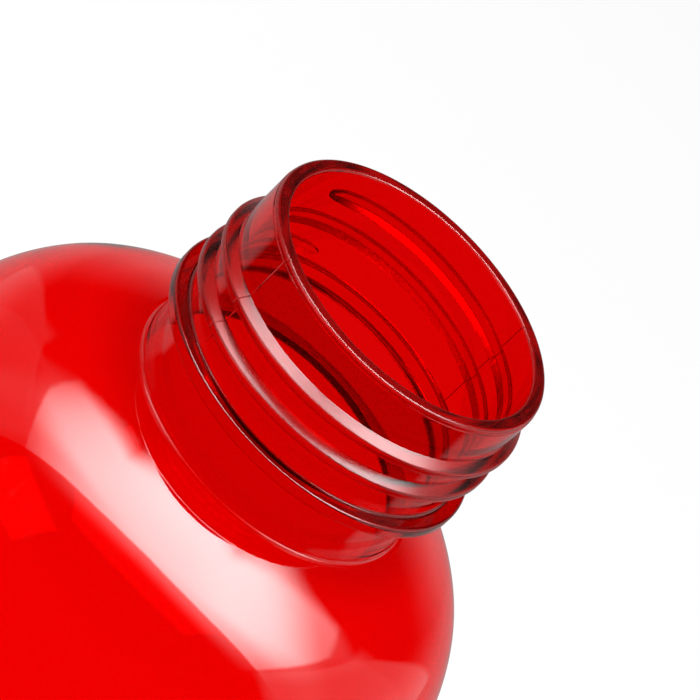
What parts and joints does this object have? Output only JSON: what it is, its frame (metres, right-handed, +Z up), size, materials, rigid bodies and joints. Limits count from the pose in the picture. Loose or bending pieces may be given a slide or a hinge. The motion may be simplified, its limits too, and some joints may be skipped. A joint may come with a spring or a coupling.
{
  "type": "sports bottle",
  "caption": "Clear red blow-moulded sports bottle with a threaded neck; its ribbed push-pull cap with a hinged dust cover is taken off and stands beside it.",
  "frame": {"origin": "on the table, at the middle of the box round the bottle and the cap that stands beside it", "axes": "+Z up along the bottle's and the cap's axes, +X from the bottle to the cap, -Y towards the cap's thumb tab and the picture's camera"},
  "size_m": [0.1333, 0.0752, 0.195],
  "materials": {
    "bottle_clear_red": "clear red tinted plastic, glossy",
    "cap_plastic": "charcoal moulded plastic, fine satin",
    "gasket_silicone": "pale silicone, matt",
    "spout_plastic": "red moulded plastic, satin",
    "cover_clear": "clear plastic, glossy",
    "pin_steel": "drawn steel wire"
  },
  "bodies": {
    "bottle": {"bottle_body": "bottle_clear_red"},
    "cap": {"cap_shell": "cap_plastic", "mouth_gasket": "gasket_silicone", "hinge_pin": "pin_steel"},
    "spout": {"spout": "spout_plastic"},
    "cover": {"dust_cover": "cover_clear"}
  },
  "joints": [
    {"name": "cap_lift", "type": "slide", "parent": "bottle", "child": "cap", "axis": [0, 0, 1], "range_m": [0, 0.12]},
    {"name": "spout_pull", "type": "slide", "parent": "cap", "child": "spout", "axis": [0, 0, 1], "range_m": [0, 0.005]},
    {"name": "cover_flip", "type": "hinge", "parent": "cap", "child": "cover", "pos_m": [0.0436, 0.01853, 0.0232], "axis": [-1, 0, 0], "range_deg": [0, 120]}
  ]
}
